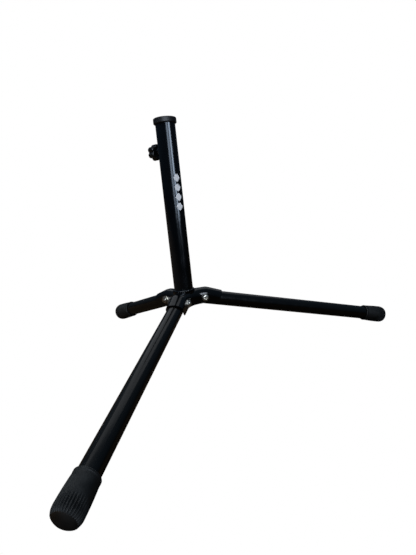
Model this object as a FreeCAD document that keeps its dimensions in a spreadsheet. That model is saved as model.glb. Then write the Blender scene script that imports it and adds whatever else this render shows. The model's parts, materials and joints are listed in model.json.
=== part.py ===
"""Trumpet stand: a pressed steel hub, three folding tube legs and a leaning upright tube.

The hub frame has its origin where the leg axes cross the axis of the upright tube, and its Z axis
runs up that tube. Two legs are long and one is short, so the stand leans towards the short leg:
every piece is placed in the hub frame first, and one common placement then sets the three feet
on the floor at Z = 0, with the origin in the middle of the footprint. All sizes are millimetres.
"""
import FreeCAD, Part
import math
import os
import Sketcher

SIZES = [
    ("leg_diameter", 16.0, "outside diameter of a leg tube"),
    ("leg_wall", 1.2, "wall of a leg tube"),
    ("leg_tilt", 14.7, "fall of a leg below the square to the upright, degrees"),
    ("long_leg_reach", 239.6, "hub centre to the mouth of the foot, front and right legs"),
    ("short_leg_reach", 106.3, "hub centre to the mouth of the foot, short leg"),
    ("pivot_reach", 22.0, "hub centre to the pivot bolt, along the leg axis"),
    ("leg_end_margin", 0.8, "ball-shaped inner end of a leg, proud of the tube radius"),
    ("leg_end_flat", 0.6, "flat left on the ball-shaped end"),
    ("plug_length", 20.0, "length of the moulded plug in a leg"),
    ("press_clearance", 0.05, "radial gap where a piece is pushed into or over a tube"),
    ("running_clearance", 0.06, "radial gap where one piece turns or slides in another"),
    ("swing_clearance", 0.4, "gap between a leg's ball-shaped end and the hub roof"),
    ("stop_clearance", 0.15, "gap between an opened leg and the roof that stops it"),
    ("side_clearance", 0.25, "gap between a leg and each side wall of its arm"),
    ("hub_wall", 1.2, "sheet thickness of the hub"),
    ("hub_bend_reach", 26.0, "hub centre to the bend where the roof of an arm slopes down"),
    ("hub_bend_radius", 14.0, "outside radius of that bend"),
    ("arm_reach", 42.5, "hub centre to the open end of an arm, along the leg axis"),
    ("arm_skirt", 6.0, "side wall of an arm, below the leg axis"),
    ("arm_rake", 5.5, "lower corner of an arm's open end, back from its upper one"),
    ("skirt_reach", 23.0, "where the skirt levels out towards the centre, along the leg axis"),
    ("arm_crown_strip", 1.2, "half width of the flat left along the crown of an arm"),
    ("web_radius", 20.0, "plan radius of the blend between two arms, where the washers leave room"),
    ("web_overlap", 0.3, "end of that blend, this far under the rim of a washer at most"),
    ("column_diameter", 21.0, "outside diameter of the upright tube"),
    ("column_wall", 1.5, "wall of the upright tube"),
    ("column_length", 178.0, "length of the upright tube"),
    ("weld_leg", 2.0, "width and height of the weld bead"),
    ("collar_diameter", 24.4, "outside diameter of the top collar"),
    ("collar_thickness", 6.0, "height of the collar above the tube"),
    ("collar_round", 1.2, "rounding of the collar's edges"),
    ("collar_spigot", 14.0, "depth of the collar inside the tube"),
    ("rod_diameter", 13.0, "sliding rod that the collar guides"),
    ("rod_clearance", 0.1, "radial gap round the sliding rod"),
    ("clamp_depth", 25.6, "clamp screw below the top of the upright tube"),
    ("clamp_azimuth", 150.0, "direction of the clamp screw, degrees"),
    ("screw_diameter", 5.0, "clamp screw thread"),
    ("screw_length", 10.8, "clamp screw from its tip to its end in the knob"),
    ("boss_diameter", 9.0, "threaded boss in the tube wall"),
    ("boss_sunk", 0.8, "boss, inside the wall of the tube"),
    ("boss_proud", 3.0, "boss, outside the wall of the tube"),
    ("knob_gap", 2.8, "space between the boss and the knob"),
    ("knob_diameter", 17.0, "outside diameter of the knob"),
    ("knob_thickness", 8.2, "thickness of the knob"),
    ("knob_round", 1.4, "rounding of the knob's outer edge"),
    ("knob_lobes", 6, "number of lobes"),
    ("flute_radius", 2.2, "radius of the hollow between two lobes"),
    ("flute_depth", 1.7, "depth of that hollow"),
    ("insert_across_flats", 7.0, "hex insert in the knob"),
    ("insert_depth", 5.5, "depth of the insert in the knob"),
    ("pad_diameter", 4.2, "clamp pad on the screw's tip"),
    ("pad_thickness", 1.5, "clamp pad thickness"),
    ("pad_stem_diameter", 2.2, "stem of the pad in the screw"),
    ("pad_stem_length", 3.0, "length of that stem"),
    ("bolt_diameter", 4.0, "pivot bolt"),
    ("bolt_clearance", 0.15, "radial gap of the bolt in the hub"),
    ("bolt_head_diameter", 8.0, "pan head"),
    ("bolt_head_height", 2.9, "pan head"),
    ("recess_length", 4.2, "arm of the cross recess in the head, end to end"),
    ("recess_width", 1.0, "width of the cross recess"),
    ("recess_depth", 1.3, "depth of the cross recess"),
    ("bolt_tip", 0.4, "bolt end beyond the nut"),
    ("washer_diameter", 9.0, "washer under the nut"),
    ("washer_thickness", 0.5, "washer under the nut"),
    ("nut_across_flats", 7.0, "lock nut"),
    ("nut_hex_height", 2.2, "lock nut, hexagon"),
    ("nut_collar_height", 0.8, "lock nut, round collar"),
    ("foot_length", 31.8, "whole rubber foot"),
    ("foot_end_wall", 5.0, "rubber beyond the end of the tube"),
    ("foot_lip_wall", 1.5, "lip at the mouth of a foot, proud of the leg"),
    ("foot_lip_width", 1.8, "lip at the mouth of a foot"),
    ("foot_neck_wall", 1.3, "foot just behind the lip, proud of the leg"),
    ("foot_wall", 2.1, "widest part of a foot, proud of the leg"),
    ("foot_widest_at", 23.6, "mouth to the widest part"),
    ("foot_shoulder_wall", 0.8, "edge of the domed end, proud of the leg"),
    ("foot_shoulder_at", 28.6, "mouth to that edge"),
]

# Directions of the legs round the upright, in degrees, with the value that holds each one's reach.
LEGS = {
    "front": (270.0, "Sizes.long_leg_reach"),
    "right": (30.0, "Sizes.long_leg_reach"),
    "short": (150.0, "Sizes.short_leg_reach"),
}
FIRST_ARM = 30.0
ARM_COUNT = len(LEGS)

# Sizes worked out from the driving ones, as expressions of the spreadsheet.
SIN_TILT = "sin(Sizes.leg_tilt)"
COS_TILT = "cos(Sizes.leg_tilt)"
LEG_RADIUS = "Sizes.leg_diameter / 2"
LEG_BORE = f"({LEG_RADIUS} - Sizes.leg_wall)"
LEG_END_RADIUS = f"({LEG_RADIUS} + Sizes.leg_end_margin)"
LEG_START = f"(Sizes.pivot_reach - {LEG_END_RADIUS} + Sizes.leg_end_flat)"
ROOF = (f"({LEG_END_RADIUS} + Sizes.swing_clearance + Sizes.hub_wall"
        f" - Sizes.pivot_reach * {SIN_TILT})")
ARM_HALF = f"({LEG_RADIUS} + Sizes.side_clearance + Sizes.hub_wall)"
COLUMN_RADIUS = "Sizes.column_diameter / 2"
COLUMN_BORE = f"({COLUMN_RADIUS} - Sizes.column_wall)"
COLUMN_TOP = f"({ROOF} + Sizes.column_length)"
CLAMP_HEIGHT = f"({COLUMN_TOP} - Sizes.clamp_depth)"
SEAT_RADIUS = f"({COLUMN_RADIUS} + Sizes.weld_leg)"
COLLAR_BORE = "(Sizes.rod_diameter / 2 + Sizes.rod_clearance)"
BOSS_START = f"({COLUMN_BORE} - Sizes.boss_sunk)"
BOSS_END = f"({COLUMN_RADIUS} + Sizes.boss_proud)"
SCREW_RADIUS = "Sizes.screw_diameter / 2"
KNOB_START = f"({BOSS_END} + Sizes.knob_gap)"
KNOB_END = f"({KNOB_START} + Sizes.knob_thickness)"
PAD_TIP = f"({BOSS_START} + Sizes.stop_clearance)"
SCREW_START = f"({PAD_TIP} + Sizes.pad_thickness + Sizes.running_clearance)"
SCREW_END = f"({SCREW_START} + Sizes.screw_length)"
INSERT_END = f"({KNOB_START} + Sizes.insert_depth)"
BOLT_RADIUS = "Sizes.bolt_diameter / 2"
WEB_ROOM = (f"(Sizes.pivot_reach * {COS_TILT} - Sizes.washer_diameter / 2 + Sizes.web_overlap"
            f" - {ARM_HALF} / tan(60 deg)) / tan(30 deg)")
WEB_RADIUS = f"min(Sizes.web_radius; {WEB_ROOM})"
NUT_FACE = f"({ARM_HALF} + Sizes.washer_thickness)"
NUT_END = f"({NUT_FACE} + Sizes.nut_hex_height + Sizes.nut_collar_height)"

doc = FreeCAD.newDocument("TrumpetStand")
sheet = doc.addObject("Spreadsheet::Sheet", "Sizes")
for row, (name, number, note) in enumerate(SIZES, start=1):
    sheet.set(f"A{row}", name)
    sheet.set(f"B{row}", str(number))
    sheet.set(f"C{row}", note)
    sheet.setAlias(f"B{row}", name)
doc.recompute()


def value(expression):
    """The number that an expression of the spreadsheet has now."""
    return float(sheet.evalExpression(expression))


def new_body(label):
    body = doc.addObject("PartDesign::Body", label)
    body.Label = label
    return body


def origin_feature(body, role):
    """An axis or plane of a body's own origin."""
    return next(item for item in body.Origin.OriginFeatures if item.Role == role)


def new_sketch(body, plane, name):
    sketch = body.newObject("Sketcher::SketchObject", f"{body.Name}_{name}")
    sketch.AttachmentSupport = [(origin_feature(body, plane), "")]
    sketch.MapMode = "FlatFace"
    return sketch


def fix_point(sketch, curve, end, x, y):
    """Ties one point of a sketch to two expressions, measured from the sketch's origin."""
    for kind, axis, expression in (("DistanceX", -2, x), ("DistanceY", -1, y)):
        if expression == "0":
            sketch.addConstraint(Sketcher.Constraint("PointOnObject", curve, end, axis))
        else:
            rule = Sketcher.Constraint(kind, -1, 1, curve, end, value(expression))
            index = sketch.addConstraint(rule)
            sketch.setExpression(f"Constraints[{index}]", expression)


def add_circle(sketch, x, y, radius):
    centre = FreeCAD.Vector(value(x), value(y), 0)
    circle = Part.Circle(centre, FreeCAD.Vector(0, 0, 1), value(radius))
    curve = sketch.addGeometry(circle)
    fix_point(sketch, curve, 3, x, y)
    index = sketch.addConstraint(Sketcher.Constraint("Radius", curve, value(radius)))
    sketch.setExpression(f"Constraints[{index}]", radius)


def arc_between(start, end, radius):
    """The short arc from start to end: it turns left, or right where the radius is negative."""
    chord = end - start
    side = math.copysign(1.0, radius)
    height = math.sqrt(radius ** 2 - (chord.Length / 2) ** 2)
    left = FreeCAD.Vector(-chord.y, chord.x, 0).normalize()
    centre = (start + end) * 0.5 + left * (height * side)
    first, last = (start, end) if side > 0 else (end, start)
    angles = [math.atan2(point.y - centre.y, point.x - centre.x) for point in (first, last)]
    circle = Part.Circle(centre, FreeCAD.Vector(0, 0, 1), abs(radius))
    return Part.ArcOfCircle(circle, angles[0], angles[1])


def add_outline(sketch, outline):
    """A closed outline. Each corner is (x, y), or (x, y, radius) where an arc leads up to it."""
    points = [FreeCAD.Vector(value(corner[0]), value(corner[1]), 0) for corner in outline]
    ends = []
    for number, corner in enumerate(outline):
        start, end = points[number - 1], points[number]
        if len(corner) == 2:
            curve = sketch.addGeometry(Part.LineSegment(start, end))
            ends.append((curve, 1, 2))
            continue
        radius = value(corner[2])
        curve = sketch.addGeometry(arc_between(start, end, radius))
        ends.append((curve, 1, 2) if radius > 0 else (curve, 2, 1))
        index = sketch.addConstraint(Sketcher.Constraint("Radius", curve, abs(radius)))
        sketch.setExpression(f"Constraints[{index}]", f"abs({corner[2]})")
    for number, (curve, first, last) in enumerate(ends):
        before, _, before_last = ends[number - 1]
        sketch.addConstraint(Sketcher.Constraint("Coincident", before, before_last, curve, first))
        fix_point(sketch, curve, last, outline[number][0], outline[number][1])


def add_turned(body, outline, name="turned"):
    """Turns an outline of (radius, height) corners about the body's Z axis."""
    sketch = new_sketch(body, "XZ_Plane", name + "_outline")
    add_outline(sketch, outline)
    feature = body.newObject("PartDesign::Revolution", f"{body.Name}_{name}")
    feature.Profile = sketch
    feature.ReferenceAxis = (sketch, ["V_Axis"])
    feature.Angle = 360
    return feature


def turned(label, outline):
    body = new_body(label)
    add_turned(body, outline)
    return body


def ring(label, inner, outer, bottom, top):
    return turned(label, [(inner, bottom), (outer, bottom), (outer, top), (inner, top)])


def add_pad(body, sketch, length, side="One side", reverse=False):
    feature = body.newObject("PartDesign::Pad", f"{sketch.Name}_pad")
    feature.Profile = sketch
    feature.SideType = side
    feature.Reversed = reverse
    feature.setExpression("Length", length)
    return feature


def add_pocket(body, sketch, length, side="One side", reverse=False):
    feature = body.newObject("PartDesign::Pocket", f"{sketch.Name}_pocket")
    feature.Profile = sketch
    feature.SideType = side
    feature.Reversed = reverse
    feature.setExpression("Length", length)
    return feature


def add_pattern(body, originals, count):
    """Repeats features evenly round the body's Z axis."""
    pattern = body.newObject("PartDesign::PolarPattern", f"{body.Name}_pattern")
    pattern.Originals = originals
    pattern.Axis = (origin_feature(body, "Z_Axis"), [""])
    pattern.Angle = 360
    if isinstance(count, str):
        pattern.setExpression("Occurrences", count)
    else:
        pattern.Occurrences = count
    body.Tip = pattern
    doc.recompute()
    return pattern


def add_fillet(body, base, wanted, radius, name):
    """Rounds the edges of a feature that a test picks out."""
    doc.recompute()
    names = [f"Edge{number}" for number, edge in enumerate(base.Shape.Edges, start=1)
             if wanted(base.Shape, edge)]
    feature = body.newObject("PartDesign::Fillet", f"{body.Name}_{name}")
    feature.Base = (base, names)
    feature.setExpression("Radius", radius)
    doc.recompute()
    return feature


def face_rise(shape, edge):
    """How far the two faces at the middle of an edge look upwards, each from -1 to 1."""
    middle = edge.valueAt((edge.FirstParameter + edge.LastParameter) / 2)
    rises = []
    for face in shape.ancestorsOfType(edge, Part.Face):
        u, v = face.Surface.parameter(middle)
        rises.append(face.normalAt(u, v).z)
    return sorted(rises)


def is_web_corner(shape, edge):
    """An upright edge near the centre, where two arms meet."""
    upright = all(abs(rise) < 0.01 for rise in face_rise(shape, edge))
    box = edge.BoundBox
    inside = max(abs(box.Center.x), abs(box.Center.y)) < 2 * value(ARM_HALF)
    return upright and box.XLength < 0.01 and box.YLength < 0.01 and inside


def is_roof_bend(shape, edge):
    """The level edge across an arm, between its flat roof and its slope."""
    box = edge.BoundBox
    return box.ZLength < 0.01 and face_rise(shape, edge)[0] > 0.5


def is_crown_edge(shape, edge):
    """An edge between the roof and a side wall."""
    low, high = face_rise(shape, edge)
    return abs(low) < 0.01 and high > 0.5


def on_leg(along, above):
    """A point of an arm's upright plane, given along and above the leg axis."""
    return (f"({along}) * {COS_TILT} + ({above}) * {SIN_TILT}",
            f"({above}) * {COS_TILT} - ({along}) * {SIN_TILT}")


def hub_form(label, inset):
    """Three blended arms. The inner form is smaller by the sheet's thickness, and runs out of
    the open ends and the underside, so that taking it from the outer form leaves the sheet."""
    hollow = inset != "0"
    body = new_body(label)
    over = "Sizes.arm_reach" if hollow else "0"
    under = "Sizes.arm_skirt" if hollow else "0"
    rake = "0" if hollow else "Sizes.arm_rake"
    roof = f"{ROOF} - {inset}"
    crown = f"{LEG_RADIUS} + Sizes.stop_clearance + Sizes.hub_wall - {inset}"
    bend = ("Sizes.hub_bend_reach", roof)
    end = on_leg("Sizes.arm_reach", crown)
    slope = f"(({end[1]}) - ({roof})) / (({end[0]}) - Sizes.hub_bend_reach)"
    tip = (f"{end[0]} + {over}", f"{end[1]} + ({over}) * {slope}")
    tip_foot = on_leg(f"Sizes.arm_reach + {over} - {rake}", f"-Sizes.arm_skirt - {under}")
    inner_foot = on_leg("Sizes.skirt_reach", f"-Sizes.arm_skirt - {under}")
    side = new_sketch(body, "XZ_Plane", "arm_side")
    add_outline(side, [("0", roof), bend, tip, tip_foot, inner_foot, ("0", inner_foot[1])])
    originals = [add_pad(body, side, f"2 * ({ARM_HALF} - {inset})", "Symmetric")]
    doc.recompute()
    arms = add_pattern(body, originals, ARM_COUNT)
    webs = add_fillet(body, arms, is_web_corner, f"{WEB_RADIUS} + {inset}", "webs")
    bends = add_fillet(body, webs, is_roof_bend, f"Sizes.hub_bend_radius - {inset}", "bends")
    add_fillet(body, bends, is_crown_edge,
               f"{ARM_HALF} - {inset} - Sizes.arm_crown_strip", "crowns")
    return body


def hub():
    """The pressed hub: outer form and seat of the upright, less the inner form and bolt holes."""
    outer = hub_form("hub_outer", "0")
    seat = new_sketch(outer, "XY_Plane", "seat")
    add_circle(seat, "0", "0", SEAT_RADIUS)
    add_pad(outer, seat, ROOF)
    inner = hub_form("hub_inner", "Sizes.hub_wall")
    hollow = doc.addObject("Part::Cut", "hub_hollow")
    hollow.Base = outer
    hollow.Tool = inner
    holes = []
    for number in range(ARM_COUNT):
        hole = doc.addObject("Part::Cylinder", f"bolt_hole_{number + 1}")
        hole.setExpression("Radius", f"{BOLT_RADIUS} + Sizes.bolt_clearance")
        hole.setExpression("Height", f"2 * {ARM_HALF} + 2")
        turn = FreeCAD.Rotation(FreeCAD.Vector(0, 0, 1), number * 360 / ARM_COUNT)
        lay = FreeCAD.Rotation(FreeCAD.Vector(1, 0, 0), 90)
        reach = value(f"Sizes.pivot_reach * {COS_TILT}")
        drop = value(f"Sizes.pivot_reach * {SIN_TILT}")
        start = FreeCAD.Vector(reach, value(ARM_HALF) + 1, -drop)
        hole.Placement = FreeCAD.Placement(turn.multVec(start), turn.multiply(lay))
        holes.append(hole)
    drills = doc.addObject("Part::MultiFuse", "bolt_holes")
    drills.Shapes = holes
    spider = doc.addObject("Part::Cut", "hub_spider")
    spider.Base = hollow
    spider.Tool = drills
    spider.Label = "hub_spider"
    return spider


def column_tube():
    """The upright tube, with the hole that the clamp boss is welded into, on its +X side."""
    body = ring("column_tube", COLUMN_BORE, COLUMN_RADIUS, ROOF, COLUMN_TOP)
    doc.recompute()
    hole = new_sketch(body, "YZ_Plane", "clamp_hole")
    add_circle(hole, "0", CLAMP_HEIGHT, "Sizes.boss_diameter / 2 + Sizes.press_clearance")
    add_pocket(body, hole, f"{COLUMN_RADIUS} + 1", reverse=True)
    return body


def column_weld():
    """The fillet weld round the foot of the upright."""
    outline = [
        (f"{COLUMN_RADIUS} + 0.02", ROOF),
        (SEAT_RADIUS, ROOF),
        (f"{COLUMN_RADIUS} + 0.02", f"{ROOF} + Sizes.weld_leg", "Sizes.weld_leg * 1.2"),
    ]
    return turned("column_weld", outline)


def top_collar():
    """The moulded bushing: a rounded flange on the tube's rim and a spigot inside it."""
    flange = "Sizes.collar_diameter / 2"
    spigot = f"{COLUMN_BORE} - Sizes.press_clearance"
    top = f"{COLUMN_TOP} + Sizes.collar_thickness"
    edge = "Sizes.collar_round"
    low = f"{COLUMN_TOP} - Sizes.collar_spigot"
    outline = [
        (COLLAR_BORE, low),
        (f"{spigot} - {edge}", low),
        (spigot, f"{low} + {edge}"),
        (spigot, COLUMN_TOP),
        (f"{flange} - {edge}", COLUMN_TOP),
        (flange, f"{COLUMN_TOP} + {edge}", edge),
        (flange, f"{top} - {edge}"),
        (f"{flange} - {edge}", top, edge),
        (f"{COLLAR_BORE} + {edge}", top),
        (COLLAR_BORE, f"{top} - {edge}"),
    ]
    return turned("top_collar", outline)


def clamp_boss():
    bore = f"{SCREW_RADIUS} + Sizes.running_clearance"
    return ring("clamp_boss", bore, "Sizes.boss_diameter / 2", BOSS_START, BOSS_END)


def clamp_pad():
    """The plastic tip: a disc that presses on the rod, on a stem in the end of the screw."""
    disc_end = f"{PAD_TIP} + Sizes.pad_thickness"
    stem = "Sizes.pad_stem_diameter / 2"
    outline = [
        ("0", PAD_TIP),
        ("Sizes.pad_diameter / 2", PAD_TIP),
        ("Sizes.pad_diameter / 2", disc_end),
        (stem, disc_end),
        (stem, f"{disc_end} + Sizes.pad_stem_length"),
        ("0", f"{disc_end} + Sizes.pad_stem_length"),
    ]
    return turned("clamp_pad", outline)


def clamp_screw():
    """The stud, bored at its tip for the stem of the pad."""
    bore = "Sizes.pad_stem_diameter / 2 + Sizes.running_clearance"
    bottom = f"{SCREW_START} + Sizes.pad_stem_length + Sizes.running_clearance"
    outline = [
        (bore, SCREW_START),
        (SCREW_RADIUS, SCREW_START),
        (SCREW_RADIUS, SCREW_END),
        ("0", SCREW_END),
        ("0", bottom),
        (bore, bottom),
    ]
    return turned("clamp_screw", outline)


def hexagon(sketch, across_flats):
    """A hexagon about the sketch's origin, with two corners on the X axis."""
    half = f"({across_flats}) / 2"
    corner = f"({across_flats}) / sqrt(3)"
    outline = [
        (corner, "0"),
        (f"{corner} / 2", half),
        (f"-{corner} / 2", half),
        (f"-{corner}", "0"),
        (f"-{corner} / 2", f"-{half}"),
        (f"{corner} / 2", f"-{half}"),
    ]
    add_outline(sketch, outline)


def lifted(sketch, height):
    """Moves a sketch along its own normal, by an expression."""
    sketch.AttachmentOffset = FreeCAD.Placement(
        FreeCAD.Vector(0, 0, value(height)), FreeCAD.Rotation())
    sketch.setExpression("AttachmentOffset.Base.z", height)
    return sketch


def clamp_insert():
    """The hex insert that the stud is screwed and glued into."""
    body = new_body("clamp_insert")
    outside = lifted(new_sketch(body, "XY_Plane", "outside"), KNOB_START)
    hexagon(outside, "Sizes.insert_across_flats - 2 * Sizes.press_clearance")
    add_pad(body, outside, "Sizes.insert_depth - Sizes.press_clearance")
    doc.recompute()
    bore = lifted(new_sketch(body, "XY_Plane", "bore"), KNOB_START)
    add_circle(bore, "0", "0", f"{SCREW_RADIUS} + Sizes.press_clearance")
    add_pocket(body, bore, "Sizes.insert_depth", reverse=True)
    return body


def clamp_knob():
    """The hand knob: a rounded disc with hollows between its lobes and a pocket for the insert."""
    radius = "Sizes.knob_diameter / 2"
    edge = "Sizes.knob_round"
    body = new_body("clamp_knob")
    add_turned(body, [
        ("0", KNOB_START),
        (f"{radius} - {edge}", KNOB_START),
        (radius, f"{KNOB_START} + {edge}", edge),
        (radius, f"{KNOB_END} - {edge}"),
        (f"{radius} - {edge}", KNOB_END, edge),
        ("0", KNOB_END),
    ])
    doc.recompute()
    flute = lifted(new_sketch(body, "XY_Plane", "flute"), KNOB_START)
    add_circle(flute, f"{radius} + Sizes.flute_radius - Sizes.flute_depth", "0",
               "Sizes.flute_radius")
    cut = add_pocket(body, flute, "Sizes.knob_thickness", reverse=True)
    doc.recompute()
    add_pattern(body, [cut], "Sizes.knob_lobes")
    seat = lifted(new_sketch(body, "XY_Plane", "insert_seat"), KNOB_START)
    hexagon(seat, "Sizes.insert_across_flats")
    add_pocket(body, seat, "Sizes.insert_depth", reverse=True)
    doc.recompute()
    bore = lifted(new_sketch(body, "XY_Plane", "stud_bore"), KNOB_START)
    add_circle(bore, "0", "0", f"{SCREW_RADIUS} + Sizes.press_clearance")
    add_pocket(body, bore, f"{SCREW_END} - {KNOB_START} + Sizes.press_clearance", reverse=True)
    return body


def ball_height(radius):
    """Where the ball about the pivot has a given radius, on its inner side along the leg."""
    return f"Sizes.pivot_reach - sqrt(({LEG_END_RADIUS}) ^ 2 - ({radius}) ^ 2)"


def drill_pivot(body):
    doc.recompute()
    hole = new_sketch(body, "XZ_Plane", "pivot_hole")
    add_circle(hole, "0", "Sizes.pivot_reach", f"{BOLT_RADIUS} + Sizes.running_clearance")
    add_pocket(body, hole, "2 * Sizes.leg_diameter", "Symmetric")


def leg_tube(label, reach):
    """A tube whose inner end is cut to a ball about the pivot, so that it turns in the hub."""
    end = f"{reach} + Sizes.foot_length - Sizes.foot_end_wall - Sizes.press_clearance"
    body = turned(label, [
        (LEG_BORE, ball_height(LEG_BORE)),
        (LEG_RADIUS, ball_height(LEG_RADIUS), LEG_END_RADIUS),
        (LEG_RADIUS, end),
        (LEG_BORE, end),
    ])
    drill_pivot(body)
    return body


def leg_plug(label):
    """The moulded plug that fills the pivot end, and finishes the tube's ball with a flat."""
    radius = f"({LEG_BORE} - Sizes.press_clearance)"
    flat = f"sqrt(({LEG_END_RADIUS}) ^ 2 - ({LEG_END_RADIUS} - Sizes.leg_end_flat) ^ 2)"
    end = f"{LEG_START} + Sizes.plug_length"
    body = turned(label, [
        ("0", LEG_START),
        (flat, LEG_START),
        (radius, ball_height(radius), LEG_END_RADIUS),
        (radius, end),
        ("0", end),
    ])
    drill_pivot(body)
    return body


def leg_foot(label, reach):
    """The rubber foot: a lip, a long swell and a domed end, with a pocket for the tube."""
    def at(distance):
        return f"{reach} + {distance}"
    bore = f"{LEG_RADIUS} + Sizes.press_clearance"
    lip = f"{LEG_RADIUS} + Sizes.foot_lip_wall"
    shoulder = f"{LEG_RADIUS} + Sizes.foot_shoulder_wall"
    rise = "(Sizes.foot_length - Sizes.foot_shoulder_at)"
    dome = f"(({shoulder}) ^ 2 + {rise} ^ 2) / (2 * {rise})"
    outline = [
        (bore, reach),
        (f"{lip} - Sizes.foot_lip_width / 3", reach),
        (lip, at("Sizes.foot_lip_width / 3")),
        (lip, at("Sizes.foot_lip_width")),
        (f"{LEG_RADIUS} + Sizes.foot_neck_wall", at("Sizes.foot_lip_width * 1.2")),
        (f"{LEG_RADIUS} + Sizes.foot_wall", at("Sizes.foot_widest_at"), "Sizes.foot_length * 9"),
        (shoulder, at("Sizes.foot_shoulder_at"), "Sizes.foot_length / 3"),
        ("0", at("Sizes.foot_length"), dome),
        ("0", at("Sizes.foot_length - Sizes.foot_end_wall")),
        (bore, at("Sizes.foot_length - Sizes.foot_end_wall")),
    ]
    return turned(label, outline)


def pivot_bolt(label):
    """A pan-head bolt across an arm, from its head at -Z to its tip beyond the nut."""
    head = "Sizes.bolt_head_diameter / 2"
    under = f"-{ARM_HALF}"
    crown = f"-{ARM_HALF} - Sizes.bolt_head_height"
    tip = f"{NUT_END} + Sizes.bolt_tip"
    body = turned(label, [
        ("0", crown),
        (f"{head} * 0.55", crown),
        (head, f"{under} - Sizes.bolt_head_height * 0.35", f"{head} * 0.6"),
        (head, under),
        (BOLT_RADIUS, under),
        (BOLT_RADIUS, f"{tip} - 0.5"),
        (f"{BOLT_RADIUS} - 0.5", tip),
        ("0", tip),
    ])
    doc.recompute()
    recess = lifted(new_sketch(body, "XY_Plane", "recess"), crown)
    reach = "Sizes.recess_length / 2"
    half = "Sizes.recess_width / 2"
    add_outline(recess, [
        (reach, half), (half, half), (half, reach),
        (f"-{half}", reach), (f"-{half}", half), (f"-{reach}", half),
        (f"-{reach}", f"-{half}"), (f"-{half}", f"-{half}"), (f"-{half}", f"-{reach}"),
        (half, f"-{reach}"), (half, f"-{half}"), (reach, f"-{half}"),
    ])
    add_pocket(body, recess, "Sizes.recess_depth", reverse=True)
    return body


def pivot_washer(label):
    bore = f"{BOLT_RADIUS} + Sizes.bolt_clearance"
    return ring(label, bore, "Sizes.washer_diameter / 2", ARM_HALF, NUT_FACE)


def pivot_nut(label):
    """A lock nut: a hexagon with a round collar that holds the locking ring."""
    body = new_body(label)
    outside = lifted(new_sketch(body, "XY_Plane", "outside"), NUT_FACE)
    hexagon(outside, "Sizes.nut_across_flats")
    add_pad(body, outside, "Sizes.nut_hex_height")
    doc.recompute()
    collar_foot = f"{NUT_FACE} + Sizes.nut_hex_height"
    collar = "Sizes.nut_across_flats * 0.46"
    add_turned(body, [
        ("0", f"{collar_foot} - 1"),
        (collar, f"{collar_foot} - 1"),
        (collar, f"{NUT_END} - 0.6"),
        (f"{collar} - 0.6", NUT_END, "0.6"),
        ("0", NUT_END),
    ], "collar")
    doc.recompute()
    bore = lifted(new_sketch(body, "XY_Plane", "bore"), NUT_FACE)
    add_circle(bore, "0", "0", f"{BOLT_RADIUS} + Sizes.press_clearance / 2")
    add_pocket(body, bore, f"{NUT_END} - {NUT_FACE} + 1", reverse=True)
    return body


def turn_about_z(degrees):
    return FreeCAD.Placement(FreeCAD.Vector(), FreeCAD.Rotation(FreeCAD.Vector(0, 0, 1), degrees))


def leg_frame(azimuth):
    """Local Z runs out along the leg, local X upwards from it and local Y to its left."""
    tilt = value("Sizes.leg_tilt")
    lay = FreeCAD.Rotation(FreeCAD.Vector(0, 1, 0), 90 + tilt)
    flip = FreeCAD.Rotation(FreeCAD.Vector(0, 0, 1), 180)
    return turn_about_z(azimuth) * FreeCAD.Placement(FreeCAD.Vector(), lay.multiply(flip))


def pivot_frame(azimuth):
    """Local Z runs along the pivot bolt, from its head to its nut."""
    lay = FreeCAD.Rotation(FreeCAD.Vector(1, 0, 0), -90)
    reach = value(f"Sizes.pivot_reach * {COS_TILT}")
    drop = value(f"Sizes.pivot_reach * {SIN_TILT}")
    return turn_about_z(azimuth) * FreeCAD.Placement(FreeCAD.Vector(reach, 0, -drop), lay)


def clamp_frame():
    """Local Z runs out along the clamp screw, from the axis of the upright."""
    lay = FreeCAD.Rotation(FreeCAD.Vector(0, 1, 0), 90)
    height = FreeCAD.Vector(0, 0, value(CLAMP_HEIGHT))
    return turn_about_z(value("Sizes.clamp_azimuth")) * FreeCAD.Placement(height, lay)


def lowest_point(piece, placement):
    shape = piece.Shape.copy()
    shape.Placement = placement
    return shape.optimalBoundingBox().ZMin


def lean_towards_short_leg(feet):
    """The tilt that sets the long and the short leg's feet level, found by halving."""
    azimuth = LEGS["short"][0]
    across = FreeCAD.Rotation(FreeCAD.Vector(0, 0, 1), azimuth).multVec(FreeCAD.Vector(0, 1, 0))

    def tilted(degrees):
        return FreeCAD.Placement(FreeCAD.Vector(), FreeCAD.Rotation(across, degrees))

    low, high = -30.0, 30.0
    while high - low > 1e-6:
        middle = (low + high) / 2
        long_foot = lowest_point(feet["front"], tilted(middle) * leg_frame(LEGS["front"][0]))
        short_foot = lowest_point(feet["short"], tilted(middle) * leg_frame(azimuth))
        if short_foot > long_foot:
            low = middle
        else:
            high = middle
    return tilted(high)


# Build every piece, with its place in the hub frame.
places = []
spider = hub()
places.append((spider, turn_about_z(FIRST_ARM)))
places.append((column_tube(), turn_about_z(value("Sizes.clamp_azimuth"))))
places.append((column_weld(), FreeCAD.Placement()))
places.append((top_collar(), FreeCAD.Placement()))
for make_piece in (clamp_boss, clamp_pad, clamp_screw, clamp_insert, clamp_knob):
    places.append((make_piece(), clamp_frame()))
feet = {}
for name, (azimuth, reach) in LEGS.items():
    feet[name] = leg_foot(f"leg_{name}_foot", reach)
    places.append((feet[name], leg_frame(azimuth)))
    places.append((leg_tube(f"leg_{name}_tube", reach), leg_frame(azimuth)))
    places.append((leg_plug(f"leg_{name}_plug"), leg_frame(azimuth)))
    places.append((pivot_bolt(f"pivot_{name}_bolt"), pivot_frame(azimuth)))
    places.append((pivot_washer(f"pivot_{name}_washer"), pivot_frame(azimuth)))
    places.append((pivot_nut(f"pivot_{name}_nut"), pivot_frame(azimuth)))
doc.recompute()

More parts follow.
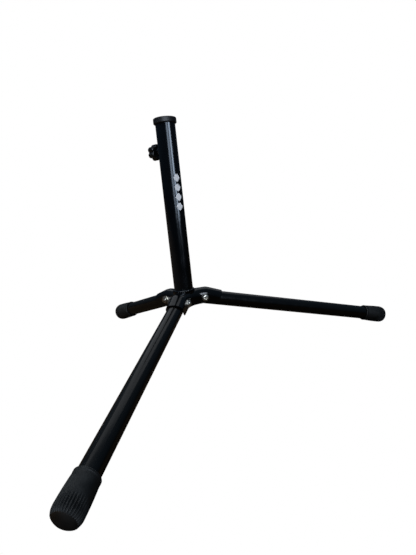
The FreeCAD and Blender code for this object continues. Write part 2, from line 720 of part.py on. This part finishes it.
# Lean the whole stand onto its feet, then centre its footprint on the origin.
lean = lean_towards_short_leg(feet)
for piece, place in places:
    piece.Placement = lean * place
doc.recompute()
boxes = [piece.Shape.optimalBoundingBox() for piece, _ in places]
middle_x = (min(box.XMin for box in boxes) + max(box.XMax for box in boxes)) / 2
middle_y = (min(box.YMin for box in boxes) + max(box.YMax for box in boxes)) / 2
floor = min(box.ZMin for box in boxes)
stand = FreeCAD.Placement(FreeCAD.Vector(-middle_x, -middle_y, -floor), FreeCAD.Rotation())
for piece, place in places:
    piece.Placement = stand * lean * place
doc.recompute()

for item in doc.Objects:
    if "Invalid" in item.State or "Error" in item.State:
        raise RuntimeError(f"{item.Label} did not build: {item.State}")
os.makedirs("parts", exist_ok=True)
for piece, _ in places:
    if not piece.Shape.isValid() or len(piece.Shape.Solids) != 1:
        raise RuntimeError(f"{piece.Label} is not one valid solid")
    piece.Shape.exportStep(f"parts/{piece.Label}.step")
base = stand * lean
print("lean", round(math.degrees(lean.Rotation.Angle), 5), "hub centre", *base.Base)
print("pieces", len(places))
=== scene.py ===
# %% [markdown]
# # A folding trumpet stand
#
# The stand is a small tripod: a pressed steel hub, three round legs that fold down, and an
# upright tube that guides a sliding rod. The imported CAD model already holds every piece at
# its real size, so this script loads it as a fixed frame, gives each piece the finish of the
# real one, and models afresh the pieces whose looks depend on fine shape: the ribbed rubber
# feet, the lobed hand knob, the weld bead and the print on the tube.

# %% Load the frame
import json
import math

import bmesh
import bpy
import numpy as np
from mathutils import Matrix, Vector


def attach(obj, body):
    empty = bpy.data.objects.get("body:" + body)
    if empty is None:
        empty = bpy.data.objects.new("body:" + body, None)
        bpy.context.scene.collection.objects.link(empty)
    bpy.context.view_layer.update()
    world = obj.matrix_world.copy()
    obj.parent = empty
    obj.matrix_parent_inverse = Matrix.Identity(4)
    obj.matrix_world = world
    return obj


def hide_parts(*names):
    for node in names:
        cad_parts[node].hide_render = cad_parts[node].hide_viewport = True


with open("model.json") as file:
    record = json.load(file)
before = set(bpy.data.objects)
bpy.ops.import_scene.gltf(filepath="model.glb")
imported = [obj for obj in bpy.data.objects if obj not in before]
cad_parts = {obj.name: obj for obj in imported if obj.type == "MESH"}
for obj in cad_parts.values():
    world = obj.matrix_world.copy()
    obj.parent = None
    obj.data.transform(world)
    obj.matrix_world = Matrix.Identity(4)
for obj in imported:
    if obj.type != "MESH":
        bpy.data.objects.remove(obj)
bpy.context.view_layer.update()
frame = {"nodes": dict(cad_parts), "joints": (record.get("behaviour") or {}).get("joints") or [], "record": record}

nodes = frame["nodes"]
record = frame["record"]

# %% [markdown]
# The upright leans towards the short leg, so nothing is square to the floor. Three directions
# describe the whole stand: the axis of the upright, and for each leg the way it points. Both
# come from the frame. The bore at the top gives the upright's axis. Each fold joint gives the
# line of a pivot bolt, and a leg points square to its bolt, tilted down from the square to
# the upright.

# %% Directions of the stand
MM = 0.001
LEG_TILT = math.radians(14.7)
PIVOT_REACH = 22.0 * MM

socket = next(mount for mount in record["mounts"] if mount["name"] == "peg_socket")
UP = np.array(socket["axis"]) / np.linalg.norm(socket["axis"])
FOLDS = {joint["child"]: joint for joint in frame["joints"] if joint["child"].startswith("leg_")}
pivots = np.array([joint["pos_m"] for joint in FOLDS.values()])
HUB_CENTRE = pivots.mean(axis=0) + UP * PIVOT_REACH * math.sin(LEG_TILT)


def unit(vector):
    return vector / np.linalg.norm(vector)


def leg_axes(body):
    """Rows: up from the leg, to its left, and out along it."""
    left = unit(np.array(FOLDS[body]["axis"]))
    outward = unit(np.cross(left, UP))
    along = outward * math.cos(LEG_TILT) - UP * math.sin(LEG_TILT)
    return np.array([np.cross(left, along), left, along])


def upright_axes(azimuth_like):
    """Rows: square to the upright towards a direction, to its left, and up the upright."""
    forward = unit(azimuth_like - UP * (azimuth_like @ UP))
    return np.array([forward, np.cross(UP, forward), UP])


def placed(local, origin, axes):
    """Local coordinates (last axis of length 3) carried into the frame: origin + local . axes."""
    return origin + local @ axes


print("upright leans", round(math.degrees(math.acos(UP[2])), 2), "degrees")

# %% [markdown]
# Every new piece is a surface given by a grid of points. The grid may close on itself along
# either side, as a ring or a lathe shape does. Points that fall together, such as the ones
# at a pole, are merged, and the faces are turned to point outwards.

# %% A mesh from a grid of points
def surface(name, points, close_rows=False, close_columns=True):
    """A quad between each point and its neighbours: rows run along axis 0, columns along 1."""
    rows, columns = points.shape[:2]
    index = np.arange(rows * columns).reshape(rows, columns)
    if close_rows:
        index = np.vstack([index, index[:1]])
    if close_columns:
        index = np.hstack([index, index[:, :1]])
    corners = [index[:-1, :-1], index[:-1, 1:], index[1:, 1:], index[1:, :-1]]
    quads = np.stack(corners, axis=-1).reshape(-1, 4)
    mesh = bpy.data.meshes.new(name)
    mesh.from_pydata(points.reshape(-1, 3).tolist(), [], quads.tolist())
    shell = bmesh.new()
    shell.from_mesh(mesh)
    bmesh.ops.remove_doubles(shell, verts=shell.verts, dist=1e-7)
    bmesh.ops.dissolve_degenerate(shell, edges=shell.edges, dist=1e-8)
    bmesh.ops.recalc_face_normals(shell, faces=shell.faces)
    shell.to_mesh(mesh)
    shell.free()
    mesh.shade_smooth()
    piece = bpy.data.objects.new(name, mesh)
    bpy.context.scene.collection.objects.link(piece)
    print(name, "-", len(mesh.polygons), "faces")
    return piece


def lathe(radius, height, angles):
    """Local points: (r cos a, r sin a, z), with radius a column or a full grid over the angles."""
    radius = np.broadcast_to(radius, (len(height), len(angles)))
    return np.stack([radius * np.cos(angles), radius * np.sin(angles),
                     np.broadcast_to(height[:, None], radius.shape)], axis=-1)


def arc_profile(start, end, radius, count):
    """Points of the arc from start to end that bulges outwards, without its first point."""
    start, end = np.array(start), np.array(end)
    chord = end - start
    length = np.linalg.norm(chord)
    normal = np.array([-chord[1], chord[0]]) / length
    centre = (start + end) / 2 + normal * math.sqrt(radius ** 2 - length ** 2 / 4)
    first = math.atan2(*(start - centre)[::-1])
    swing = 2 * math.asin(length / 2 / radius)
    turn = first + swing * np.linspace(0, 1, count + 1)[1:]
    return centre + radius * np.stack([np.cos(turn), np.sin(turn)], axis=-1)


def smooth_step(value, low, high):
    """0 below low, 1 above high, and 3t^2 - 2t^3 in between."""
    part = np.clip((value - low) / (high - low), 0, 1)
    return part * part * (3 - 2 * part)


# %% [markdown]
# ## Finishes
#
# A finish is a small tree of shader nodes. Colours are written as the hex values that a paint
# chart gives, and one function turns them into the linear numbers that a shader needs. One
# more adds a node with its settings, links and ramp stops, so that each finish reads as a
# list.

# %% Colour and node helpers
def linear(code):
    """The linear colour of an sRGB hex value."""
    channels = [int(code[place:place + 2], 16) / 255 for place in (1, 3, 5)]
    return tuple(c / 12.92 if c <= 0.04045 else ((c + 0.055) / 1.055) ** 2.4
                 for c in channels) + (1.0,)


def grey(level):
    return (level, level, level, 1.0)


def add_node(tree, kind, links=None, stops=(), **settings):
    """A node with its values set by name, its inputs fed by sockets and its ramp stops set."""
    made = tree.nodes.new(kind)
    for name, value in settings.items():
        if hasattr(made, name):
            setattr(made, name, value)
        else:
            made.inputs[name.replace("_", " ")].default_value = value
    for name, socket_out in (links or {}).items():
        tree.links.new(socket_out, made.inputs[name])
    for number, (position, colour) in enumerate(stops):
        elements = made.color_ramp.elements
        element = elements[number] if number < len(elements) else elements.new(1.0)
        element.position, element.color = position, colour
    return made


def new_material(name):
    """An empty material, its tree and the object coordinates in metres."""
    material = bpy.data.materials.new(name)
    material.use_nodes = True
    tree = material.node_tree
    tree.nodes.clear()
    place = add_node(tree, "ShaderNodeTexCoord").outputs["Object"]
    print("finish", name)
    return material, tree, place


# %% [markdown]
# No real surface is quite even. Its colour and its gloss drift a little from place to place,
# over a distance that can be measured, and its skin has a texture with a real grain and a real
# depth. Noise gives all three, with its scale worked out from the grain in millimetres.

# %% Drift, colour and skin
def drift(tree, place, grain_mm, detail, stops):
    """Noise in blobs about grain_mm across, read through a ramp of (position, colour) stops."""
    blobs = add_node(tree, "ShaderNodeTexNoise", {"Vector": place},
                     Scale=1 / (grain_mm * MM), Detail=detail)
    read = add_node(tree, "ShaderNodeValToRGB", {"Fac": blobs.outputs["Fac"]}, stops=stops)
    return read.outputs["Color"]


def colour_drift(tree, place, dark, light, grain_mm):
    """A base colour that drifts between two near shades."""
    return drift(tree, place, grain_mm, 3.0, [(0.35, linear(dark)), (0.7, linear(light))])


def finish_surface(tree, place, links, grain_mm, detail, bump_mm, **settings):
    """A Principled shader on the output, over a skin with a real grain and a real depth."""
    skin = add_node(tree, "ShaderNodeTexNoise", {"Vector": place},
                    Scale=1 / (grain_mm * MM), Detail=detail)
    bump = add_node(tree, "ShaderNodeBump", {"Height": skin.outputs["Fac"]},
                    Distance=bump_mm * MM, Strength=1.0)
    shader = add_node(tree, "ShaderNodeBsdfPrincipled",
                      {**links, "Normal": bump.outputs["Normal"]}, **settings)
    add_node(tree, "ShaderNodeOutputMaterial", {"Surface": shader.outputs["BSDF"]})


# %% [markdown]
# The upright is steel tube sprayed with gloss black enamel. The film levels out almost flat,
# so it mirrors lamps as clean bands, with only the faint ripple called orange peel: waves
# about 2 mm across and a few thousandths deep.

# %% Gloss black enamel
LACQUER_IOR = 1.5


def gloss_black_enamel():
    material, tree, place = new_material("gloss_black_enamel")
    # Near black is the enamel's own colour; the slight blue tint in it is a painted cool reflection of the room.
    links = {
        "Base Color": colour_drift(tree, place, "#080d13", "#0c131b", 30.0),
        "Roughness": drift(tree, place, 14.0, 3.0, [(0.3, grey(0.13)), (0.75, grey(0.2))]),
    }
    finish_surface(tree, place, links, 2.2, 1.0, 0.006, IOR=LACQUER_IOR)
    return material


# %% [markdown]
# The legs and the hub are powder coated. The powder melts into a tougher film with an even
# fine texture, which softens what it mirrors. On the hub it lies over pressed sheet and is
# lumpier, and it flowed out to a deeper gloss. Its patches are a dozen grains across.

# %% Powder coats
def powder_coat(name, dark, light, grain_mm, bump_mm, low_rough, high_rough):
    material, tree, place = new_material(name)
    links = {
        "Base Color": colour_drift(tree, place, dark, light, grain_mm * 20),
        "Roughness": drift(tree, place, grain_mm * 12, 2.0,
                           [(0.3, grey(low_rough)), (0.7, grey(high_rough))]),
    }
    finish_surface(tree, place, links, grain_mm, 3.0, bump_mm, IOR=LACQUER_IOR)
    return material


# %% [markdown]
# The feet are moulded rubber: matte, a little dusty on their high spots, with a faint skin
# from the mould, and less shine than a plastic. The collar and the knob are moulded nylon,
# harder and slightly shinier. The pad on the stud's tip is nylon left in its natural white.

# %% Rubber and moulded plastic
def moulded(name, dark, light, grain_mm, bump_mm, low_rough, high_rough, shine=0.5):
    material, tree, place = new_material(name)
    patch_mm = grain_mm * 9
    links = {
        "Base Color": colour_drift(tree, place, dark, light, patch_mm),
        "Roughness": drift(tree, place, patch_mm, 3.0,
                           [(0.35, grey(low_rough)), (0.7, grey(high_rough))]),
    }
    finish_surface(tree, place, links, grain_mm, 4.0, bump_mm,
                   IOR=1.5, Specular_IOR_Level=shine)
    return material


# %% [markdown]
# The bolts, washers and nuts are steel with bright zinc plate. Plating is grey-white metal
# with soft cloudy patches 1 to 2 mm across, duller where the crystals are coarse. The stud
# and the insert in the knob are steel blackened in hot oxide salts, dark and nearly dull.

# %% Bright and blackened metal
def plated_metal(name, dark, light, low_rough, high_rough):
    material, tree, place = new_material(name)
    links = {
        "Base Color": colour_drift(tree, place, dark, light, 2.5),
        "Roughness": drift(tree, place, 1.6, 3.0,
                           [(0.3, grey(low_rough)), (0.7, grey(high_rough))]),
    }
    finish_surface(tree, place, links, 0.25, 2.0, 0.004, Metallic=1.0)
    return material


# %% [markdown]
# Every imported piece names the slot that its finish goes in, so a table from slot to finish
# is enough to dress them all. It gives each finish its two shades, its grain and depth in
# millimetres where it has them, and its lowest and highest roughness.

# %% Put the finishes on the CAD pieces
FINISHES = {
    "column_paint": gloss_black_enamel(),
    "leg_coat": powder_coat("satin_black_powder_coat", "#0a0a09", "#100f0e",
                            0.6, 0.002, 0.15, 0.22),
    "hub_coat": powder_coat("hub_powder_coat", "#050607", "#0b0c0c", 1.6, 0.05, 0.08, 0.16),
    "foot_rubber": moulded("matte_black_rubber", "#1d1f20", "#2a2d2e",
                           0.8, 0.006, 0.5, 0.65, 0.3),
    "moulded_black": moulded("moulded_black_nylon", "#14161a", "#1d2024",
                             0.6, 0.015, 0.45, 0.58),
    "knob_black": moulded("knob_black_plastic", "#0c0d0f", "#141518", 0.6, 0.012, 0.34, 0.46),
    "zinc_steel": plated_metal("bright_zinc_plate", "#a8a49a", "#d8d5cc", 0.24, 0.42),
    "black_oxide": plated_metal("black_oxide_steel", "#26262a", "#38383c", 0.35, 0.5),
    "white_nylon": moulded("natural_nylon", "#cfccc2", "#dedbd2", 0.6, 0.01, 0.4, 0.5),
}
SLOT_OF = {part["node"]: part["material_slot"] for part in record["subparts"]}
for name, piece in nodes.items():
    piece.data.materials.clear()
    piece.data.materials.append(FINISHES[SLOT_OF[name]])
print("finished", len(nodes), "CAD pieces in", len(FINISHES), "finishes")

# %% [markdown]
# ## Rubber feet
#
# Each foot is a moulded rubber boot: a thin lip round its mouth, a long swell, fine ribs that
# run lengthways over the last third, and a domed end. It is a lathe shape, so it is worked
# out as an outline turned about the leg. The ribs are a ripple added to the radius, faded in
# along the foot. The bore is turned too, so that the boot is a closed solid like the real one.
# The domed end stands on the floor and has a finish of its own: dark brown, a painted reflection of the brown
# floor.

# %% Foot outline
FOOT_LENGTH = 31.8
FOOT_BORE = 8.05
FOOT_POCKET = 26.8
BORE_EDGE = 0.35
LIP_RADIUS = 9.5
LIP_WIDTH = 1.8
LIP_ROUND = 0.6
NECK_RADIUS = 9.3
SWELL_RADIUS = 10.1
SWELL_AT = 23.6
SWELL_ARC = 286
SHOULDER_RADIUS = 8.8
SHOULDER_AT = 28.6
SHOULDER_ARC = 10.6


def foot_outline():
    """Rows of (radius, distance from the mouth) in millimetres, from the pocket out and over."""
    rise = FOOT_LENGTH - SHOULDER_AT
    dome = (SHOULDER_RADIUS ** 2 + rise ** 2) / (2 * rise)
    parts = [
        [(0, FOOT_POCKET), (FOOT_BORE - BORE_EDGE, FOOT_POCKET),
         (FOOT_BORE, FOOT_POCKET - BORE_EDGE)],
        [(FOOT_BORE, BORE_EDGE), (FOOT_BORE + BORE_EDGE, 0), (LIP_RADIUS - LIP_ROUND, 0)],
        arc_profile((LIP_RADIUS - LIP_ROUND, 0), (LIP_RADIUS, LIP_ROUND), LIP_ROUND, 5),
        arc_profile((LIP_RADIUS, LIP_WIDTH - 0.3), (NECK_RADIUS + 0.02, LIP_WIDTH + 0.25),
                    LIP_ROUND, 4),
        arc_profile((NECK_RADIUS, LIP_WIDTH + 0.5), (SWELL_RADIUS, SWELL_AT), SWELL_ARC, 48),
        arc_profile((SWELL_RADIUS, SWELL_AT), (SHOULDER_RADIUS, SHOULDER_AT),
                    SHOULDER_ARC, 32),
        arc_profile((SHOULDER_RADIUS, SHOULDER_AT), (0, FOOT_LENGTH), dome, 24),
    ]
    return np.vstack(parts)


print("foot outline:", len(foot_outline()), "points")

# %% [markdown]
# The ribs are grooves cut in the swell, 2 mm apart, that fade in along it and stop short at
# the shoulder. Eight points to each rib are enough for a crisp edge.

# %% Ribs on the foot
RIB_COUNT = 32
RIB_POINTS = 8
RIB_DEPTH = 0.9
RIBS_FADE_IN = (15.0, 23.0)
RIBS_FADE_OUT = (28.6, 29.3)
INSIDE_ROWS = 7
FOOT_REACH = {"leg_front": 239.6, "leg_right": 239.6, "leg_short": 106.3}
FOOT_ANGLES = np.linspace(0, 2 * np.pi, RIB_COUNT * RIB_POINTS, endpoint=False)


def foot_points(body):
    """Radius = outline - depth * |cos(n a / 2)|^4, faded in and out along the foot."""
    outline = foot_outline()
    radius, height = outline[:, 0], outline[:, 1]
    outside = np.arange(len(radius)) >= INSIDE_ROWS
    fade = smooth_step(height, *RIBS_FADE_IN) * (1 - smooth_step(height, *RIBS_FADE_OUT))
    groove = np.abs(np.cos(FOOT_ANGLES * RIB_COUNT / 2)) ** 4
    ribbed = radius[:, None] - RIB_DEPTH * (fade * outside)[:, None] * groove[None, :]
    local = lathe(ribbed, height, FOOT_ANGLES) * MM
    local[..., 2] += FOOT_REACH[body] * MM
    return placed(local, HUB_CENTRE, leg_axes(body))


# %% [markdown]
# The domed end with its painted floor reflection is a second material on the same mesh. The faces that take it are
# told by how far along the leg their middle lies.

# %% Make the three feet
# The dark brown of the domed end is a painted reflection of the brown floor it stands on.
PAINTED_REFLECTION_FROM = 29.2
painted_reflection_rubber = moulded("painted_reflection_rubber_end", "#1b1309", "#261b0f", 0.7, 0.03, 0.6, 0.75, 0.2)


def mark_painted_reflection_end(foot, body):
    """Faces whose middle lies beyond the start of the brown end along the leg take the second material, a painted
    floor reflection.
    """
    count = len(foot.data.polygons)
    middles = np.empty(count * 3)
    foot.data.polygons.foreach_get("center", middles)
    along = (middles.reshape(-1, 3) - HUB_CENTRE) @ leg_axes(body)[2] / MM - FOOT_REACH[body]
    foot.data.materials.append(painted_reflection_rubber)
    foot.data.polygons.foreach_set("material_index", (along > PAINTED_REFLECTION_FROM).astype(np.int32))


for body in FOLDS:
    foot = surface(f"{body}_rubber_foot", foot_points(body))
    foot.data.materials.append(FINISHES["foot_rubber"])
    mark_painted_reflection_end(foot, body)
    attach(foot, body)
    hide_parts(f"{body}_foot")

# %% [markdown]
# ## Hand knob
#
# The clamp knob is a moulded disc with soft lobes. Seen along its axis its outline is a
# circle with a cosine ripple, so one function of the angle gives the lobes, and an outline
# along the axis gives the rounded edges. The back keeps a blind hole for the stud.

# %% Make the knob
KNOB_RADIUS = 8.5
KNOB_THICKNESS = 8.2
KNOB_LOBES = 6
KNOB_DEPTH = 1.7
KNOB_EDGE = 1.6
KNOB_DISH = 0.5
STUD_RADIUS = 4.1
STUD_DEPTH = 5.4
STUD_EDGE = 0.3
COLUMN_RADIUS = 10.5
BOSS_PROUD = 3.0
KNOB_GAP = 2.8
KNOB_START = COLUMN_RADIUS + BOSS_PROUD + KNOB_GAP


def knob_points():
    """Radius = outline - depth * share * (0.5 - 0.5 cos n a)^2.2, with share 1 at the rim."""
    shoulder = KNOB_RADIUS - KNOB_EDGE
    outline = np.vstack([
        [(0, STUD_DEPTH), (STUD_RADIUS, STUD_DEPTH), (STUD_RADIUS, STUD_EDGE),
         (STUD_RADIUS + STUD_EDGE, 0), (shoulder, 0)],
        arc_profile((shoulder, 0), (KNOB_RADIUS, KNOB_EDGE), KNOB_EDGE, 8),
        np.stack([np.full(6, KNOB_RADIUS),
                  np.linspace(KNOB_EDGE, KNOB_THICKNESS - KNOB_EDGE, 7)[1:]], axis=-1),
        arc_profile((KNOB_RADIUS, KNOB_THICKNESS - KNOB_EDGE), (shoulder, KNOB_THICKNESS),
                    KNOB_EDGE, 8),
        [(5.6, KNOB_THICKNESS), (5.2, KNOB_THICKNESS - KNOB_DISH),
         (0, KNOB_THICKNESS - KNOB_DISH)],
    ])
    angles = np.linspace(0, 2 * np.pi, 180, endpoint=False)
    hollow = (0.5 - 0.5 * np.cos(angles * KNOB_LOBES)) ** 2.2
    share = smooth_step(outline[:, 0], STUD_RADIUS + 0.4, shoulder)
    radius = outline[:, :1] - KNOB_DEPTH * share[:, None] * hollow[None, :]
    return lathe(radius, outline[:, 1] + KNOB_START, angles) * MM


clamp = next(joint for joint in frame["joints"] if joint["name"] == "clamp_turn")
clamp_out = -unit(np.array(clamp["axis"]))
clamp_foot = HUB_CENTRE + UP * ((np.array(clamp["pos_m"]) - HUB_CENTRE) @ UP)
clamp_axes = np.array([UP, np.cross(clamp_out, UP), clamp_out])
knob = surface("hand_knob", placed(knob_points(), clamp_foot, clamp_axes))
knob.data.materials.append(FINISHES["knob_black"])
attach(knob, "clamp_handle")
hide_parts("clamp_knob")

# %% [markdown]
# ## Weld bead
#
# The upright is welded to the hub all the way round. A hand weld is a row of overlapping
# puddles, so the bead is a small ring whose thickness pulses along its length, a little
# unevenly. Gloss enamel runs over it and catches small glints on each puddle.

# %% Make the weld bead
ROOF_HEIGHT = 4.82
WELD_PUDDLES = 26
WELD_THICKNESS = 0.85
PUDDLE_RISE = 0.4


def weld_points():
    """A ring carrying a small circle of radius t + rise * |sin(n a / 2 + ...)|^0.7 + wander."""
    around = np.linspace(0, 2 * np.pi, 480, endpoint=False)
    section = np.linspace(0, 2 * np.pi, 20, endpoint=False)
    uneven = 0.7 * np.sin(around * 3)
    puddles = np.abs(np.sin(around * (WELD_PUDDLES // 2) + uneven)) ** 0.7
    wander = 0.12 * np.sin(around * 5 + 1.0) + 0.08 * np.sin(around * 9)
    thick = WELD_THICKNESS + PUDDLE_RISE * puddles + wander
    ring = COLUMN_RADIUS + 0.55 + 0.25 * wander
    radius = ring + thick * np.cos(section)[:, None]
    height = ROOF_HEIGHT + 0.45 + thick * 0.95 * np.sin(section)[:, None]
    points = np.stack([radius * np.cos(around), radius * np.sin(around), height], axis=-1)
    return points * MM


FRONT_AXES = upright_axes(np.array([0.0, -1.0, 0.0]))
weld = surface("weld_bead", placed(weld_points(), HUB_CENTRE, FRONT_AXES), close_rows=True)
weld.data.materials.append(FINISHES["column_paint"])
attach(weld, "base")
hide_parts("column_weld")

# %% [markdown]
# ## Print on the upright
#
# Such a tube carries a small screen print. Here it is a row of four plain lozenges. Screen ink
# stands a few hundredths of a millimetre proud, so each lozenge is a thin closed lens wrapped
# round the tube: a polar grid whose rim is a superellipse, bent to the tube's radius.

# %% Printing ink
def screen_ink():
    material, tree, place = new_material("pale_screen_ink")
    links = {
        "Base Color": colour_drift(tree, place, "#dfe4ec", "#f2f5fa", 1.5),
        "Roughness": drift(tree, place, 0.8, 3.0, [(0.3, grey(0.4)), (0.7, grey(0.55))]),
    }
    finish_surface(tree, place, links, 0.8, 3.0, 0.004, IOR=LACQUER_IOR)
    return material


# %% [markdown]
# Each lozenge is worked out flat, in rings from its centre, and then wrapped: the distance
# across becomes an angle round the tube. The last rings go back under it, a little inside
# the tube's wall, which closes it.

# %% Make the lozenges
PRINT_TURN = math.radians(52)
PRINT_HEIGHT = 126.7
PRINT_STEP = -10.0
PRINT_COUNT = 4
LOZENGE_HALF_WIDTH = 4.0
LOZENGE_HALF_HEIGHT = 4.4
LOZENGE_POWER = 1.3
RING_SHARES = np.array([0, 0.5, 0.9, 1.0, 0.5, 0])[:, None]
RING_LIFTS = np.array([0.045, 0.045, 0.04, -0.05, -0.05, -0.05])[:, None]


def lozenge_points(middle):
    """Rings from the centre to the rim |x|^p + |y|^p = 1 and back under, wrapped on the tube."""
    around = np.linspace(0, 2 * np.pi, 64, endpoint=False)
    rim = (np.abs(np.cos(around)) ** LOZENGE_POWER
           + np.abs(np.sin(around)) ** LOZENGE_POWER) ** (-1 / LOZENGE_POWER)
    across = LOZENGE_HALF_WIDTH * RING_SHARES * rim * np.cos(around)
    along = LOZENGE_HALF_HEIGHT * RING_SHARES * rim * np.sin(around)
    turn = PRINT_TURN + across / COLUMN_RADIUS
    radius = COLUMN_RADIUS + np.broadcast_to(RING_LIFTS, across.shape)
    points = np.stack([radius * np.cos(turn), radius * np.sin(turn), middle + along], axis=-1)
    return placed(points * MM, HUB_CENTRE, FRONT_AXES)


ink = screen_ink()
lozenges = []
for number in range(PRINT_COUNT):
    lozenge = surface(f"print_lozenge_{number + 1}",
                      lozenge_points(PRINT_HEIGHT + PRINT_STEP * number))
    lozenge.data.materials.append(ink)
    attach(lozenge, "base")
    lozenges.append(lozenge)

# %% [markdown]
# ## Floor, light and camera
#
# Black gloss shows what is round it, so the light is mostly a matter of what there is to
# mirror. The floor is a wooden table to the object, which mirrors it as a dim warm brown, but
# plain white to the camera. A Light Path node tells the two kinds of ray apart.

# %% Floor
def pale_floor():
    material, tree, place = new_material("pale_floor")
    wood = drift(tree, place, 400.0, 1.0, [(0.3, linear("#4e4234")), (0.7, linear("#584a3a"))])
    matte = add_node(tree, "ShaderNodeBsdfDiffuse", {"Color": wood})
    white = add_node(tree, "ShaderNodeEmission", Color=grey(1.0), Strength=1.0)
    seen = add_node(tree, "ShaderNodeLightPath").outputs["Is Camera Ray"]
    both = add_node(tree, "ShaderNodeMixShader",
                    {"Fac": seen, 1: matte.outputs["BSDF"], 2: white.outputs["Emission"]})
    add_node(tree, "ShaderNodeOutputMaterial", {"Surface": both.outputs["Shader"]})
    return material


FLOOR_REACH = 6
span = np.linspace(-FLOOR_REACH, FLOOR_REACH, 3)
floor_points = np.stack([*np.meshgrid(span, span), np.zeros((3, 3))], axis=-1)
floor = surface("floor", floor_points, close_columns=False)
floor.data.materials.append(pale_floor())

# %% [markdown]
# The room does the same. The camera sees it white, and the object mirrors a dim room, cool
# and a little brighter overhead.

# %% World
scene = bpy.context.scene
world = bpy.data.worlds.new("studio")
scene.world = world
world.use_nodes = True
sky = world.node_tree
sky.nodes.clear()
direction = add_node(sky, "ShaderNodeTexCoord").outputs["Generated"]
level = add_node(sky, "ShaderNodeSeparateXYZ", {"Vector": direction}).outputs["Z"]
room_stops = [(0.0, linear("#262c32")), (0.3, linear("#35424f")), (1.0, linear("#4b5b6b"))]
room = add_node(sky, "ShaderNodeValToRGB", {"Fac": level}, stops=room_stops).outputs["Color"]
dim = add_node(sky, "ShaderNodeBackground", {"Color": room}, Strength=1.0)
white = add_node(sky, "ShaderNodeBackground", Color=grey(1.0), Strength=1.0)
seen = add_node(sky, "ShaderNodeLightPath").outputs["Is Camera Ray"]
both = add_node(sky, "ShaderNodeMixShader",
                {"Fac": seen, 1: dim.outputs["Background"], 2: white.outputs["Background"]})
add_node(sky, "ShaderNodeOutputWorld", {"Surface": both.outputs["Shader"]})
print("world", world.name, "with", len(sky.nodes), "nodes")

# %% [markdown]
# Every lamp is a soft rectangle, as a window or a softbox is. A glossy tube mirrors one as
# a band, so a lamp may be kept for gloss only or for matte surfaces only. In a studio, black
# flags keep a lamp off what it shouldn't light. Light linking does that here.

# %% Lamp helpers
def soft_lamp(name, place, aim, width, height, power, tint):
    """A rectangular lamp at place, looking at aim, that shows in gloss but not to the camera."""
    lamp = bpy.data.lights.new(name, "AREA")
    lamp.shape = "RECTANGLE"
    lamp.size, lamp.size_y, lamp.energy = width, height, power
    lamp.color = linear(tint)[:3]
    holder = bpy.data.objects.new(name, lamp)
    holder.location = place
    look = Vector(aim) - Vector(place)
    holder.rotation_euler = look.to_track_quat("-Z", "Y").to_euler()
    holder.visible_camera = False
    scene.collection.objects.link(holder)
    print(name, "-", power, "W")
    return holder


def flag_lamp(lamp, pieces, state):
    """Make the lamp light those pieces only (INCLUDE) or all but them (EXCLUDE)."""
    group = bpy.data.collections.new(f"{lamp.name}_{state.lower()}")
    for piece in pieces:
        group.objects.link(piece)
    for member in group.collection_objects:
        member.light_linking.link_state = state
    lamp.light_linking.receiver_collection = group


# %% [markdown]
# Two tall strips on the right draw the two bands down the upright, and light nothing else. A
# wide window at the front puts the glints on the bolts and the hub. A lamp above lights the
# matte rubber, and a small one at the side lights the print. A large lamp far behind the
# stand is mirrored at a low angle in the tops of the legs.

# %% Lamps
upright_tube = [nodes["column_tube"]]
strips = (("left", (0.78, -1.29, 1.0), 0.6, 17), ("right", (1.3, -0.75, 1.0), 0.55, 33))
for pane, place, width, power in strips:
    strip = soft_lamp(f"lamp_strip_{pane}", place, (0, 0, 0.25), width, 1.4, power, "#bccfe6")
    strip.visible_diffuse = False
    flag_lamp(strip, upright_tube, "INCLUDE")
window = soft_lamp("lamp_window", (0.6, -1.5, 1.1), (-0.05, 0, 0.25), 1.5, 1.0, 50, "#cbd6e4")
window.visible_diffuse = False
flag_lamp(window, upright_tube, "EXCLUDE")
above = soft_lamp("lamp_above", (-0.9, -0.1, 1.0), (0, 0, 0.05), 1.0, 0.8, 15, "#ecedee")
above.visible_glossy = False
side = soft_lamp("lamp_side", (1.1, -0.7, 0.7), (0, 0, 0.15), 0.5, 0.5, 13, "#eef3fa")
side.visible_glossy = False
flag_lamp(side, lozenges, "INCLUDE")
soft_lamp("lamp_far", (-0.5, 1.8, 1.75), (0, 0, 0.1), 2.6, 2.2, 9, "#e4e6e8")

# %% [markdown]
# The camera stands close in front of the front foot, a little above the hub, and looks down
# through a wide lens. So the front leg looks long and thickens towards its foot.

# %% Camera
CAMERA_PLACE = (0.0653, -0.3601, 0.1969)
CAMERA_TURN = 13.1
CAMERA_DOWN = 14.9
CAMERA_ROLL = 0.2
LENS_MM = 26.88
SENSOR_MM = 36.0
NEAREST = 0.01
camera_data = bpy.data.cameras.new("camera")
camera_data.lens = LENS_MM
camera_data.sensor_width = SENSOR_MM
camera_data.clip_start = NEAREST
camera = bpy.data.objects.new("camera", camera_data)
scene.collection.objects.link(camera)
turn = Matrix.Rotation(math.radians(CAMERA_TURN), 4, "Z")
tip = Matrix.Rotation(math.radians(90 - CAMERA_DOWN), 4, "X")
roll = Matrix.Rotation(math.radians(-CAMERA_ROLL), 4, "Z")
camera.matrix_world = Matrix.Translation(CAMERA_PLACE) @ turn @ tip @ roll
scene.camera = camera
scene.view_settings.view_transform = "Standard"
print("camera at", CAMERA_PLACE, "with a", LENS_MM, "mm lens")
